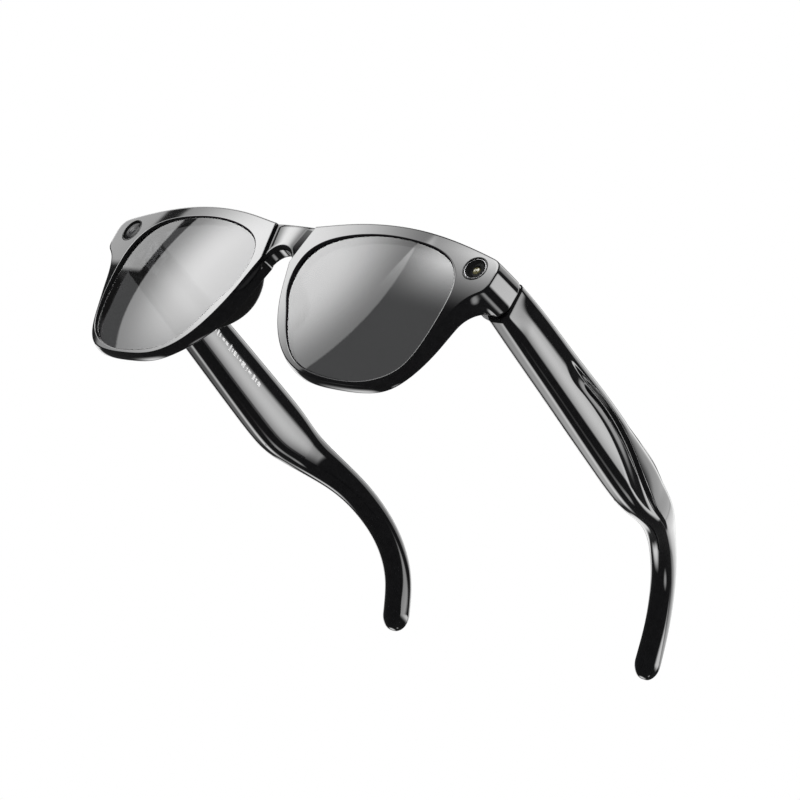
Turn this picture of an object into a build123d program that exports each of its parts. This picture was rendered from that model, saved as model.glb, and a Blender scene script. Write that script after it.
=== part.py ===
"""Smart glasses with a camera, a capture light and electronics in both temples.

Frame: X points to the wearer's left, Y runs back along the temples, Z is up. The origin is
under the middle of the object, on the surface that the rims and the temple tips stand on.
The temples are drawn open. Heights are written from the middle of the lenses, LENS_Z up.
"""
import os
from math import asin, cos, radians, sin, sqrt

from build123d import *

os.makedirs("parts", exist_ok=True)

# Front
LENS_Z = 25.3          # height of the middle of the lenses over the standing surface
SHIFT_Y = -76.0        # puts the origin under the middle of the object's depth
FRONT_R = 450.0        # radius of the flat-looking front face, seen from above
RIM_DEPTH = 5.2        # front to back through the rims
SEAM_Y = 16.1          # where the end pieces stop and the temples begin
END_IN_X = 60.9         # inner wall of the end pieces
END_OUT_X = 71.0
END_TOP = 19.2
END_BOTTOM = 8.5
EASE = (0.3, 0.3)      # pull of the end tangents of the lens outline's two curves

# Lenses
LENS_R = 130.0
LENS_THICK = 2.0
LENS_MID_X = 34.9
LENS_SET = 1.1         # how far the lens stands behind the front face at its middle

# Camera and capture light, one in each end piece
EYE_X = 63.9
EYE_V = 15.7
EYE_RING_R = 3.5
EYE_WELL_R = 2.5
EYE_FRONT_Y = 4.6
END_HOLLOW_Y = 5.9
END_HOLLOW_HIGH = 8.1
BRIDGE_REAR_Y = 5.22
EYE_GLASS_R = 2.7
EYE_LENS_R = 1.3
LIGHT_R = 2.9

# Nose pads: each section's distance back, middle x, length and width
PAD_LEAN = 24.0
PAD_SECTIONS = ((5.1, 11.0, 19.0, 5.0), (8.4, 12.0, 17.0, 4.4), (11.0, 13.4, 12.0, 2.4))

# Hinges
PIVOT_X = 62.6
PIVOT_Y = 18.4
KNUCKLE_R = 1.9
PIN_R = 0.6
PIN_CLEAR = 0.05
HINGE_LOW = 9.4
HINGE_HIGH = 16.6
KNUCKLE_LOW = 11.5
KNUCKLE_HIGH = 14.5
KNUCKLE_GAP = 0.1
LEAF_X = 60.7
LEAF_THICK = 1.2
LEAF_FRONT_Y = 12.2
LEAF_SCREWS = [(LEAF_X, 14.0, v) for v in (11.0, 15.0)]
SCREW_R = 0.5
SCREW_HEAD_R = 0.9

# Temples
INNER_X = 63.4         # the flat inner face of the temples
WALL = 1.3
COVER_THICK = 1.2
COVER_PROUD = 0.25     # the inner covers stand this far out of the temples' inner faces
CAVITY_WIDE = 4.1
CAVITY_X = INNER_X + COVER_THICK
SPEAKER_Y = 84.0
MIC_Y = 36.8
MIC_V = 12.2
TEMPLE_SCREWS = [(INNER_X, y, 13.0) for y in (25.5, 30.0)]
COVER_FRONT_Y = 35.0
COVER_REAR_Y = 95.0
CAVITY_FRONT_Y = 23.0
CAVITY_REAR_Y = 94.0

# Buttons
BUTTON_Y = 42.0
BUTTON_LENGTH = 10.0
BUTTON_WIDTH = 2.8
BUTTON_TRAVEL = 0.5
BUTTON_X = 66.7
BUTTON_DEPTH = 2.4     # from the temple's top face down to the button's flange
BUTTON_PROUD = 0.4
SLIDER_Y = 41.0
SLIDER_TRAVEL = 1.8
SLIDER_LENGTH = 3.6
SLIDER_WIDTH = 1.8


def front_y(x, depth=0.0):
    """Where the surface 'depth' behind the front face lies, x from the middle."""
    return FRONT_R - sqrt((FRONT_R - depth) ** 2 - x * x)


def shell(near, far):
    """The slab between two depths behind the front face, as wide as the object."""
    with BuildPart() as slab:
        with BuildSketch(Plane.XY.offset(-40)):
            with Locations((0, FRONT_R)):
                Circle(FRONT_R - near)
                Circle(FRONT_R - far, mode=Mode.SUBTRACT)
        extrude(amount=80)
        with Locations((0, 25, 0)):
            Box(160, 80, 100, mode=Mode.INTERSECT)
    return slab.part


def keep(part, name, side=1):
    """Label one finished piece, move it to the part's frame and write it."""
    placed = part if side == 1 else mirror(part, about=Plane.YZ)
    placed = placed.moved(Location((0, SHIFT_Y, LENS_Z)))
    placed.label = name
    export_step(placed, f"parts/{name}.step")


def keep_pair(part, name):
    """Write one piece for the wearer's left and its mirror image for the right."""
    keep(part, name + "_left", 1)
    keep(part, name + "_right", -1)


def lens_outline():
    """The wearer's left lens opening: its nose side and its temple side, joined smoothly."""
    nose_side = Spline((34.0, 20.4), (18.0, 17.9), (10.3, 12.4), (9.1, 5.0), (13.2, -5.0),
                       (20.6, -16.2), (28.6, -20.9), (39.0, -22.2),
                       tangents=[(-1, 0), (1, 0)], tangent_scalars=EASE)
    Spline(nose_side @ 1, (50.2, -20.6), (57.2, -14.8), (60.0, -4.0), (60.4, 6.6), (56.0, 15.7),
           (47.2, 19.5), nose_side @ 0, tangents=[(1, 0), (-1, 0)], tangent_scalars=EASE)


def front_outline():
    """The wearer's left half of the front, from the top of the bridge round to its arch."""
    top = Line((0, 20.5), (7.3, 20.5))
    brow = Spline((7.3, 20.5), (20.0, 22.8), (36.0, 24.2), (54.0, 22.6), (67.4, 19.9),
                  tangents=[(1, 0.12), (1, -0.2)])
    corner = Spline(brow @ 1, (70.2, 18.4), (END_OUT_X, 15.6), tangents=[(1, -0.2), (0, -1)])
    side = Line(corner @ 1, (70.7, 11.3))
    under = Spline(side @ 1, (69.4, 9.0), (66.9, 7.3), (64.8, 4.2), (62.9, -1.6),
                   tangents=[(0, -1), (-0.3, -1)])
    rim = Spline(under @ 1, (60.9, -9.0), (57.9, -17.0), (51.2, -22.1), (39.0, -23.7),
                 (26.5, -22.5), (18.0, -17.1), (11.3, -7.6), (7.6, 0.9), (5.3, 8.8),
                 tangents=[(-0.3, -1), (-0.22, 1)])
    arch = Spline(rim @ 1, (3.4, 11.4), (0, 12.7), tangents=[(-0.25, 1), (-1, 0)])
    Line(arch @ 1, top @ 0)


def lens_centre():
    """Centre of the lens's front sphere, square to the front face at the lens's middle."""
    turn = asin(LENS_MID_X / FRONT_R)
    reach = LENS_R + LENS_SET
    return (LENS_MID_X - reach * sin(turn), front_y(LENS_MID_X) + reach * cos(turn), -0.9)


# Front frame ---------------------------------------------------------------------------

with BuildPart() as lens_left:
    with BuildSketch(Plane.XZ.offset(2)):
        with BuildLine():
            lens_outline()
        make_face()
    extrude(amount=-24)
    with Locations(lens_centre()):
        Sphere(LENS_R, mode=Mode.INTERSECT)
        Sphere(LENS_R - LENS_THICK, mode=Mode.SUBTRACT)

with BuildPart() as lens_opening:
    with BuildSketch(Plane.XZ.offset(4)):
        with BuildLine():
            lens_outline()
        make_face()
    extrude(amount=-30)

with BuildPart() as behind_rims:
    with BuildSketch(Plane.XY.offset(-40)):
        with Locations((0, FRONT_R)):
            Circle(FRONT_R - RIM_DEPTH)
        with Locations((0, 15)):
            Rectangle(160, 60, mode=Mode.INTERSECT)
    extrude(amount=80)

with BuildPart() as between_ends:
    add(behind_rims.part)
    Box(2 * END_IN_X, 100, 100, mode=Mode.INTERSECT)

with BuildPart() as below_ends:
    add(behind_rims.part)
    with Locations((0, 0, END_BOTTOM)):
        Box(200, 200, 100, align=(Align.CENTER, Align.CENTER, Align.MAX), mode=Mode.INTERSECT)

# Each end piece is hollow for the camera or the light, and cut back for the hinge's leaf.
with BuildPart() as end_hollow:
    with Locations((END_IN_X - 1, END_HOLLOW_Y, (END_TOP + END_BOTTOM) / 2)):
        Box(9.5, 5.7, END_HOLLOW_HIGH, align=(Align.MIN, Align.MIN, Align.CENTER))

with BuildPart() as leaf_seat:
    with Locations((LEAF_X - 3, LEAF_FRONT_Y, 0)):
        Box(3 + LEAF_THICK, 10, 50, align=(Align.MIN, Align.MIN, Align.CENTER))
    with Locations((67.6, 11, 13.5)):
        Cylinder(1.0, 8, rotation=(-90, 0, 0), align=(Align.CENTER, Align.CENTER, Align.MIN))
    with Locations(*LEAF_SCREWS):
        Cylinder(SCREW_R, 3.4, rotation=(0, 90, 0), align=(Align.CENTER, Align.CENTER, Align.MIN))

eye_plane = Plane(
    origin=(EYE_X, front_y(EYE_X), EYE_V),
    x_dir=(cos(asin(EYE_X / FRONT_R)), sin(asin(EYE_X / FRONT_R)), 0),
    z_dir=(EYE_X / FRONT_R, -cos(asin(EYE_X / FRONT_R)), 0),
)

with BuildPart() as brow_band:
    with BuildSketch(Plane.XZ.offset(2)):
        with BuildLine():
            upper = Spline((-60, 20.0), (-52, 21.5), (-36, 22.8), (-20, 21.4), (0, 19.0),
                           (20, 21.4), (36, 22.8), (52, 21.5), (60, 20.0))
            ends = [Line((-60, 18.7), (-60, 20.0)), Line((60, 20.0), (60, 18.7))]
            Spline((-60, 18.7), (-52, 20.2), (-36, 21.5), (-20, 20.1), (0, 17.7),
                   (20, 20.1), (36, 21.5), (52, 20.2), (60, 18.7))
        make_face()
    extrude(amount=-24)

with BuildPart() as brow_cover:
    add(brow_band.part)
    add(shell(RIM_DEPTH - 0.9, RIM_DEPTH), mode=Mode.INTERSECT)

with BuildPart() as front_flex:
    add(brow_band.part)
    add(shell(RIM_DEPTH - 1.6, RIM_DEPTH - 1.4), mode=Mode.INTERSECT)

with BuildPart() as brow_channel:
    add(brow_band.part)
    add(shell(RIM_DEPTH - 1.6, RIM_DEPTH), mode=Mode.INTERSECT)

# The bridge is set back between two creases that lean outward towards the top.
with BuildPart() as bridge_step:
    with BuildSketch(Plane.XZ.offset(2)):
        Polygon((-5.1, 6), (5.1, 6), (8.0, 23), (-8.0, 23), align=None)
    extrude(amount=-20)
    add(shell(-2, 1.0), mode=Mode.INTERSECT)

with BuildPart() as eye_well:
    with BuildSketch(eye_plane.offset(0.5)):
        Circle(EYE_RING_R)
    extrude(amount=-1.6)
    with BuildSketch(Plane.XZ.offset(-3)):
        with Locations((EYE_X, EYE_V)):
            Circle(EYE_WELL_R)
    extrude(amount=-8)

with BuildPart() as front_frame:
    with BuildSketch(Plane.XZ.offset(2)):
        with BuildLine():
            front_outline()
        make_face()
        mirror(about=Plane.YZ)
    extrude(amount=-(SEAM_Y + 2))
    with Locations((0, FRONT_R)):
        Cylinder(FRONT_R, 200, mode=Mode.INTERSECT)
    for hollow in (between_ends, below_ends, bridge_step, brow_channel):
        add(hollow.part, mode=Mode.SUBTRACT)
    for hollow in (end_hollow, leaf_seat, eye_well, lens_opening):
        add(hollow.part, mode=Mode.SUBTRACT)
        add(mirror(hollow.part, about=Plane.YZ), mode=Mode.SUBTRACT)

keep(front_frame.part, "front_frame")
keep(brow_cover.part, "brow_cover")
keep(front_flex.part, "front_flex")
keep_pair(lens_left.part, "lens")

# Nose pads: rounded wedges that lean with the rim's nose side and narrow towards the back.
with BuildPart() as nose_pad:
    for depth, centre_x, pad_length, pad_width in PAD_SECTIONS:
        with BuildSketch(Plane.XZ.offset(-depth)):
            with Locations(Location((centre_x, -4.8), PAD_LEAN)):
                RectangleRounded(pad_width, pad_length, 0.48 * pad_width)
    loft()
keep_pair(nose_pad.part, "nose_pad")

# Camera in the wearer's left end piece, capture light in the right one -------------------

with BuildPart() as camera_trim_ring:
    with BuildSketch(eye_plane.offset(0.15)):
        Circle(EYE_RING_R - 0.05)
        Circle(EYE_GLASS_R, mode=Mode.SUBTRACT)
    extrude(amount=-1.1)
keep(camera_trim_ring.part, "camera_trim_ring")

with BuildPart() as camera_cover_glass:
    with BuildSketch(eye_plane.offset(-0.1)):
        Circle(EYE_GLASS_R - 0.02)
    extrude(amount=-0.7)
keep(camera_cover_glass.part, "camera_cover_glass")

eye_axis = Plane(origin=(EYE_X, EYE_FRONT_Y, EYE_V), x_dir=(1, 0, 0), z_dir=(0, -1, 0))

with BuildPart() as camera_barrel:
    with BuildSketch(eye_axis.offset(-1.3)):
        Circle(EYE_WELL_R - 0.05)
    extrude(amount=-3.0)
    with BuildSketch(eye_axis.offset(-1.3)):
        Circle(EYE_LENS_R)
    extrude(amount=-2.2, mode=Mode.SUBTRACT)
keep(camera_barrel.part, "camera_barrel")

with BuildPart() as camera_lens:
    with BuildSketch(eye_axis.offset(-1.5)):
        Circle(EYE_LENS_R)
    extrude(amount=-2.0)
    fillet(camera_lens.faces().sort_by(Axis.Y)[0].edges(), 0.6)
keep(camera_lens.part, "camera_lens")

with BuildPart() as camera_sensor:
    with BuildSketch(eye_axis.offset(-4.3)):
        Rectangle(4.6, 4.2)
    extrude(amount=-0.8)
keep(camera_sensor.part, "camera_sensor")

with BuildPart() as light_trim_ring:
    with BuildSketch(eye_plane.offset(0.1)):
        Circle(EYE_RING_R - 0.05)
        Circle(LIGHT_R, mode=Mode.SUBTRACT)
    extrude(amount=-1.0)
keep(light_trim_ring.part, "capture_light_ring", -1)

with BuildPart() as light_window:
    with BuildSketch(eye_plane):
        Circle(LIGHT_R - 0.02)
    extrude(amount=-1.0)
    with BuildSketch(eye_axis.offset(-0.6)):
        Circle(1.6)
    extrude(amount=-2.5)
keep(light_window.part, "capture_light_window", -1)

with BuildPart() as light_board:
    with BuildSketch(eye_axis.offset(-4.2)):
        Rectangle(4.6, 4.2)
    extrude(amount=-0.6)
    with BuildSketch(eye_axis.offset(-3.2)):
        Rectangle(1.6, 1.6)
    extrude(amount=-1.0)
keep(light_board.part, "capture_light_board", -1)

# End covers close the hollow end pieces from inside.
with BuildPart() as end_cover:
    with Locations((END_IN_X, END_HOLLOW_Y, (END_TOP + END_BOTTOM) / 2)):
        Box(0.5, 5.7, END_HOLLOW_HIGH, align=(Align.MIN, Align.MIN, Align.CENTER))
keep_pair(end_cover.part, "end_cover")

# The bridge holds a microphone, whose sound hole faces back, and two charging contacts.
with BuildPart() as bridge_microphone:
    with Locations((0, BRIDGE_REAR_Y + 0.5, 16.0)):
        Box(3.5, 1.0, 1.4)
        Cylinder(0.3, 3, rotation=(90, 0, 0), mode=Mode.SUBTRACT)
keep(bridge_microphone.part, "bridge_microphone")

with BuildPart() as charging_contacts:
    with Locations((-2.2, BRIDGE_REAR_Y, 13.9), (2.2, BRIDGE_REAR_Y, 13.9)):
        Cylinder(0.7, 0.5, rotation=(-90, 0, 0), align=(Align.CENTER, Align.CENTER, Align.MIN))
keep(charging_contacts.part, "charging_contacts")

# Hinges ----------------------------------------------------------------------------------

with BuildPart() as hinge_front_leaf:
    with Locations((LEAF_X, LEAF_FRONT_Y, (HINGE_LOW + HINGE_HIGH) / 2)):
        Box(LEAF_THICK, 15.9 - LEAF_FRONT_Y, HINGE_HIGH - HINGE_LOW,
            align=(Align.MIN, Align.MIN, Align.CENTER))
    for low, high in ((HINGE_LOW, KNUCKLE_LOW - KNUCKLE_GAP), (KNUCKLE_HIGH + KNUCKLE_GAP, HINGE_HIGH)):
        with BuildSketch(Plane.XY.offset(low)):
            with Locations((PIVOT_X, PIVOT_Y)):
                Circle(KNUCKLE_R)
            with Locations((LEAF_X, 15.0)):
                Rectangle(LEAF_THICK, PIVOT_Y - 15.0, align=(Align.MIN, Align.MIN))
        extrude(amount=high - low)
    with Locations((PIVOT_X, PIVOT_Y, 0)):
        Cylinder(PIN_R, 80, mode=Mode.SUBTRACT)
    with Locations(*LEAF_SCREWS):
        Cylinder(SCREW_R, 8, rotation=(0, 90, 0), mode=Mode.SUBTRACT)
keep_pair(hinge_front_leaf.part, "hinge_front_leaf")

with BuildPart() as hinge_pin:
    with Locations((PIVOT_X, PIVOT_Y, HINGE_LOW)):
        Cylinder(PIN_R, HINGE_HIGH - HINGE_LOW, align=(Align.CENTER, Align.CENTER, Align.MIN))
    with Locations((PIVOT_X, PIVOT_Y, HINGE_HIGH)):
        Cylinder(1.2, 0.5, align=(Align.CENTER, Align.CENTER, Align.MIN))
        with Locations((0, 0, 0.5)):
            Box(3.0, 0.3, 0.5, mode=Mode.SUBTRACT)
keep_pair(hinge_pin.part, "hinge_pin")

with BuildPart() as hinge_front_screws:
    with Locations(*LEAF_SCREWS):
        Cylinder(SCREW_R, 3.4, rotation=(0, 90, 0), align=(Align.CENTER, Align.CENTER, Align.MIN))
        Cylinder(SCREW_HEAD_R, 0.4, rotation=(0, -90, 0), align=(Align.CENTER, Align.CENTER, Align.MIN))
keep_pair(hinge_front_screws.part, "hinge_front_screws")

with BuildPart() as hinge_temple_leaf:
    with BuildSketch(Plane.XY.offset(KNUCKLE_LOW)):
        with Locations((PIVOT_X, PIVOT_Y)):
            Circle(KNUCKLE_R)
        with BuildLine():
            Polyline((PIVOT_X, PIVOT_Y), (PIVOT_X + 1.2, PIVOT_Y - 1.2), (INNER_X + 1.2, 20.6),
                     (INNER_X + 1.2, 23), (INNER_X, 23), (INNER_X, 20.6), (PIVOT_X, PIVOT_Y))
        make_face()
    extrude(amount=KNUCKLE_HIGH - KNUCKLE_LOW)
    with Locations((INNER_X, 21.0, (HINGE_LOW + HINGE_HIGH) / 2)):
        Box(COVER_THICK, 12.0, HINGE_HIGH - HINGE_LOW, align=(Align.MIN, Align.MIN, Align.CENTER))
    with Locations((PIVOT_X, PIVOT_Y, 0)):
        Cylinder(PIN_R + PIN_CLEAR, 80, mode=Mode.SUBTRACT)
    with Locations(*TEMPLE_SCREWS):
        Cylinder(SCREW_R, 8, rotation=(0, 90, 0), mode=Mode.SUBTRACT)
keep_pair(hinge_temple_leaf.part, "hinge_temple_leaf")

with BuildPart() as hinge_temple_screws:
    with Locations(*TEMPLE_SCREWS):
        Cylinder(SCREW_R, 2.2, rotation=(0, 90, 0), align=(Align.CENTER, Align.CENTER, Align.MIN))
        Cylinder(SCREW_HEAD_R, 0.3, rotation=(0, -90, 0), align=(Align.CENTER, Align.CENTER, Align.MIN))
keep_pair(hinge_temple_screws.part, "hinge_temple_screws")

# Temples ---------------------------------------------------------------------------------

# Stations down the pod: distance back, middle x, middle height, width and height.
POD = (
    (16.5, 66.75, 13.9, 6.7, 12.0),
    (44.0, 66.95, 11.0, 7.1, 13.9),
    (66.0, 67.1, 8.5, 7.4, 15.2),
    (88.0, 67.3, 5.7, 7.8, 16.8),
    (96.0, 67.3, 4.9, 7.8, 16.6),
)
# Stations down the ear hook, with its lean down and its swing towards the head in degrees.
HOOK = (
    (96.0, 67.3, 4.9, 7.8, 16.6, 0, 0),
    (105.0, 65.3, 4.3, 6.6, 11.6, 4, 20),
    (113.5, 61.4, 3.9, 5.4, 8.8, 8, 24),
    (122.3, 57.4, 2.3, 5.0, 8.0, 18, 24),
    (131.0, 53.8, -1.0, 4.9, 7.6, 29, 22),
    (138.6, 50.8, -6.2, 4.9, 7.4, 46, 20),
    (144.6, 48.8, -13.3, 5.1, 7.4, 62, 16),
    (148.6, 47.9, -21.0, 5.0, 6.8, 70, 8),
    (149.8, 47.8, -24.8, 2.4, 3.6, 74, 4),
)
TILT = 6.8             # how far the pod's middle line slopes down, degrees
TOP_TILT = 5.0         # the same for its top face
UNDER_TILT = 8.7       # and for its underside


def middle_v(y):
    """Height of the pod's middle line, y back from the front."""
    return 13.9 - 0.1195 * (y - 16.5)


def half_height(y):
    """Half of the pod's height there."""
    return 6.0 + 0.0325 * (y - 16.5)


def panel(front, rear, margin, near_x, thick):
    """A flat plate that follows the pod's side view, 'margin' in from its edges."""
    corners = [
        (y, middle_v(y) + end * (half_height(y) - margin))
        for y, end in ((front, -1), (front, 1), (rear, 1), (rear, -1))
    ]
    with BuildPart() as plate:
        with BuildSketch(Plane.YZ.offset(near_x)) as side_view:
            Polygon(*corners, align=None)
            fillet(side_view.vertices(), 1.2)
        extrude(amount=thick)
    return plate.part


def inside(y, x, up=0.0):
    """A place in the pod: on its middle line, raised by 'up', tilted with it."""
    return Location((x, y, middle_v(y) + up), (-TILT, 0, 0))


def station(y, x, v, lean, swing):
    """The plane square to the ear hook there."""
    down = radians(lean)
    turn = radians(swing)
    along = Vector(-sin(turn) * cos(down), cos(turn) * cos(down), -sin(down))
    return Plane(origin=(x, y, v), x_dir=(cos(turn), sin(turn), 0), z_dir=along)


with BuildPart() as pod:
    for y, x, v, wide, tall in POD:
        with BuildSketch(station(y, x, v, 0, 0)):
            RectangleRounded(wide, tall, 2.2)
    loft()

with BuildPart() as hook:
    for y, x, v, wide, tall, lean, swing in HOOK:
        with BuildSketch(station(y, x, v, lean, swing)):
            RectangleRounded(wide, tall, min(2.2, 0.42 * wide))
    loft()

with BuildPart() as hinge_notch:
    with Locations((INNER_X - 2, 16, (HINGE_LOW + HINGE_HIGH) / 2)):
        Box(3.6, 5, HINGE_HIGH - HINGE_LOW + 1.4, align=(Align.MIN, Align.MIN, Align.CENTER))
    with Locations((INNER_X - 2, 20, (HINGE_LOW + HINGE_HIGH) / 2)):
        Box(2 + COVER_THICK, 13, HINGE_HIGH - HINGE_LOW, align=(Align.MIN, Align.MIN, Align.CENTER))
    with Locations(*TEMPLE_SCREWS):
        Cylinder(SCREW_R, 2.2, rotation=(0, 90, 0), align=(Align.CENTER, Align.CENTER, Align.MIN))

with BuildPart() as speaker_slot:
    with Locations(Location((66.7, SPEAKER_Y, middle_v(SPEAKER_Y) - half_height(SPEAKER_Y)),
                            (-UNDER_TILT, 0, 0))):
        Box(2.2, 9.0, 6.0)

button_plane = Plane(
    origin=(BUTTON_X, BUTTON_Y, middle_v(BUTTON_Y) + half_height(BUTTON_Y)),
    x_dir=(1, 0, 0),
    z_dir=(0, sin(radians(TOP_TILT)), cos(radians(TOP_TILT))),
)

cavity = panel(COVER_FRONT_Y, CAVITY_REAR_Y, WALL + 1, CAVITY_X, CAVITY_WIDE)
front_cavity = panel(CAVITY_FRONT_Y, COVER_FRONT_Y + 3, WALL + 1, CAVITY_X + WALL, CAVITY_WIDE - WALL)
cover_seat = panel(COVER_FRONT_Y, COVER_REAR_Y, WALL + 0.3, INNER_X - 1, 1 + COVER_THICK)

with BuildPart() as temple_blank:
    add(pod.part)
    add(hook.part)
    add(front_cavity, mode=Mode.SUBTRACT)
    add(cavity, mode=Mode.SUBTRACT)
    add(cover_seat, mode=Mode.SUBTRACT)
    add(hinge_notch.part, mode=Mode.SUBTRACT)
    add(speaker_slot.part, mode=Mode.SUBTRACT)
    with Locations((70, MIC_Y, MIC_V)):
        Cylinder(0.45, 6, rotation=(0, 90, 0), mode=Mode.SUBTRACT)

with BuildPart() as temple_shell_left:
    add(temple_blank.part)
keep(temple_shell_left.part, "temple_shell_left")

with BuildPart() as temple_shell_right:
    add(temple_blank.part)
    with BuildSketch(button_plane.offset(2)):
        SlotOverall(BUTTON_LENGTH + 0.3, BUTTON_WIDTH + 0.3, rotation=90)
    extrude(amount=-5, mode=Mode.SUBTRACT)
keep(temple_shell_right.part, "temple_shell_right", -1)

# Inner covers. The left one has the window that the power slider moves in.
cover_right = panel(COVER_FRONT_Y, COVER_REAR_Y, WALL + 0.3, INNER_X - COVER_PROUD,
                    COVER_THICK + COVER_PROUD)
keep(cover_right, "temple_cover_right", -1)

with BuildPart() as cover_left:
    add(cover_right)
    with Locations(inside(SLIDER_Y + SLIDER_TRAVEL / 2, INNER_X)):
        Box(6, SLIDER_LENGTH + SLIDER_TRAVEL + 0.3, SLIDER_WIDTH + 0.3, mode=Mode.SUBTRACT)
keep(cover_left.part, "temple_cover_left")

# Speakers sit over slots in the pods' undersides, with a grille in each slot.
with BuildPart() as speaker:
    with Locations(inside(85, CAVITY_X + 2.1, -1.2)):
        Box(3.6, 13.0, 8.0)
    fillet(speaker.edges().filter_by(Axis.X), 1.5)
keep_pair(speaker.part, "speaker")

with BuildPart() as speaker_grille:
    with Locations(Location((66.7, SPEAKER_Y, middle_v(SPEAKER_Y) - half_height(SPEAKER_Y) + 0.6),
                            (-UNDER_TILT, 0, 0))):
        Box(2.1, 8.7, 0.5)
        with GridLocations(0, 1.2, 1, 7):
            Cylinder(0.35, 2, mode=Mode.SUBTRACT)
keep_pair(speaker_grille.part, "speaker_grille")

with BuildPart() as microphone:
    with Locations((CAVITY_X + CAVITY_WIDE - 0.5, MIC_Y, MIC_V)):
        Box(1.0, 3.0, 2.4)
        Cylinder(0.45, 4, rotation=(0, 90, 0), mode=Mode.SUBTRACT)
keep_pair(microphone.part, "temple_microphone")

with BuildPart() as temple_flex:
    with Locations(inside(50.5, CAVITY_X + CAVITY_WIDE - 1.2)):
        Box(0.2, 52, 3.0)
keep_pair(temple_flex.part, "temple_flex")

# Wearer's left temple: the battery, the charge board and the power switch
with BuildPart() as battery:
    with Locations(inside(63, 66.0)):
        Box(2.6, 28.0, 9.0)
    fillet(battery.edges().filter_by(Axis.X), 1.0)
keep(battery.part, "battery")

with BuildPart() as charge_board:
    with Locations(inside(42, 66.5)):
        Box(0.6, 12.4, 7.2)
    with Locations(inside(36.9, 66.0), inside(47.1, 66.0, 1.0)):
        Box(0.5, 1.6, 2.6)
keep(charge_board.part, "charge_board")

with BuildPart() as power_switch_body:
    with Locations(inside(SLIDER_Y + SLIDER_TRAVEL / 2, 65.8)):
        Box(0.8, 8.0, 3.6)
keep(power_switch_body.part, "power_switch_body")

with BuildPart() as power_slider:
    with Locations(inside(SLIDER_Y, INNER_X - COVER_PROUD)):
        Box(COVER_THICK + COVER_PROUD + 0.1, SLIDER_LENGTH, SLIDER_WIDTH,
            align=(Align.MIN, Align.CENTER, Align.CENTER))
        with GridLocations(0, 1.0, 1, 3):
            Box(0.3, 0.4, 5.0, align=(Align.MIN, Align.CENTER, Align.CENTER), mode=Mode.SUBTRACT)
    with Locations(inside(SLIDER_Y, CAVITY_X + 0.1)):
        Box(0.4, 5.4, 3.2, align=(Align.MIN, Align.CENTER, Align.CENTER))
keep(power_slider.part, "power_slider")

# Wearer's right temple: the main board, the touch sensor and the capture button
with BuildPart() as main_board:
    with Locations(inside(63, 65.4)):
        Box(0.7, 28.0, 8.4)
keep(main_board.part, "main_board", -1)

with BuildPart() as processor_shield:
    with Locations(inside(57, 66.35)):
        Box(1.2, 12.0, 7.0)
    fillet(processor_shield.edges().filter_by(Axis.X), 0.6)
keep(processor_shield.part, "processor_shield", -1)

with BuildPart() as radio_module:
    with Locations(inside(70, 66.3)):
        Box(1.1, 8.0, 6.4)
keep(radio_module.part, "radio_module", -1)

with BuildPart() as touch_sensor:
    with Locations(inside(60, CAVITY_X + CAVITY_WIDE - 0.1, 0.0)):
        Box(0.2, 36.0, 7.0)
keep(touch_sensor.part, "touch_sensor", -1)

with BuildPart() as capture_switch:
    with BuildSketch(button_plane.offset(-BUTTON_DEPTH - 1.15)):
        Circle(0.8)
    extrude(amount=-0.2)
    with BuildSketch(button_plane.offset(-BUTTON_DEPTH - 1.3)):
        Rectangle(2.6, 3.0)
    extrude(amount=-1.3)
    with BuildSketch(button_plane.offset(-BUTTON_DEPTH - 1.3)):
        with Locations((-1.5, 0)):
            Rectangle(0.5, 7.0)
    extrude(amount=-5.0)
keep(capture_switch.part, "capture_switch", -1)

with BuildPart() as capture_button:
    with BuildSketch(button_plane.offset(BUTTON_PROUD)):
        SlotOverall(BUTTON_LENGTH, BUTTON_WIDTH, rotation=90)
    extrude(amount=-BUTTON_PROUD - BUTTON_DEPTH - 0.1)
    fillet(capture_button.faces().sort_by(Axis.Z)[-1].edges(), 0.3)
    with BuildSketch(button_plane.offset(-BUTTON_DEPTH)):
        Rectangle(BUTTON_WIDTH + 0.8, BUTTON_LENGTH + 1.0)
    extrude(amount=-0.5)
keep(capture_button.part, "capture_button", -1)
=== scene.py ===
from math import cos, pi, radians, sin, sqrt

import bmesh
import bpy
import numpy as np
from mathutils import Matrix, Vector


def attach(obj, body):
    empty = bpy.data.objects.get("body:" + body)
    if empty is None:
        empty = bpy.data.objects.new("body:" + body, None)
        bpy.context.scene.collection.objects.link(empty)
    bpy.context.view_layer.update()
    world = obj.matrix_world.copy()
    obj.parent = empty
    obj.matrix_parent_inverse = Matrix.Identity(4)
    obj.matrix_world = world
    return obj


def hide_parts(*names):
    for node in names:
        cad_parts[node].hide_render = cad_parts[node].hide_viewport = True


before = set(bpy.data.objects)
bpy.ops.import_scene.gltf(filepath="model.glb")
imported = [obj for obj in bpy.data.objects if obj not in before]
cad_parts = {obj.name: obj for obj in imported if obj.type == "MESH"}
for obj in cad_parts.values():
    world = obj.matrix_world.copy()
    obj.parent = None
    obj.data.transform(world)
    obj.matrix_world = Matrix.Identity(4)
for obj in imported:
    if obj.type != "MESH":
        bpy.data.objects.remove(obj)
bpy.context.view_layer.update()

# Sizes in millimetres: x from the middle, y back from the front face, v up from the lenses' middle.
SHIFT_Y = -76.0
LENS_Z = 25.3
FACE_R = 440.0         # the front face's radius seen from above
FACE_RISE_R = 300.0    # and seen from the side
RIM_DEPTH = 5.2        # front to back through the rims at the brow
RIM_THINNING = 1.9     # how much less deep the rims are at their foot
SEAM_Y = 16.1          # where the end pieces stop
END_IN_X = 60.9        # the end piece's inner side, and its foot and top
END_LOW = 8.5
END_HIGH = 19.2
BELLY = 0.5            # how far the rim's outer wall bulges, and how much less the end piece's does
END_BELLY_LESS = 0.3
LENS_R = 245.0
LENS_THICK = 2.0
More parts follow.
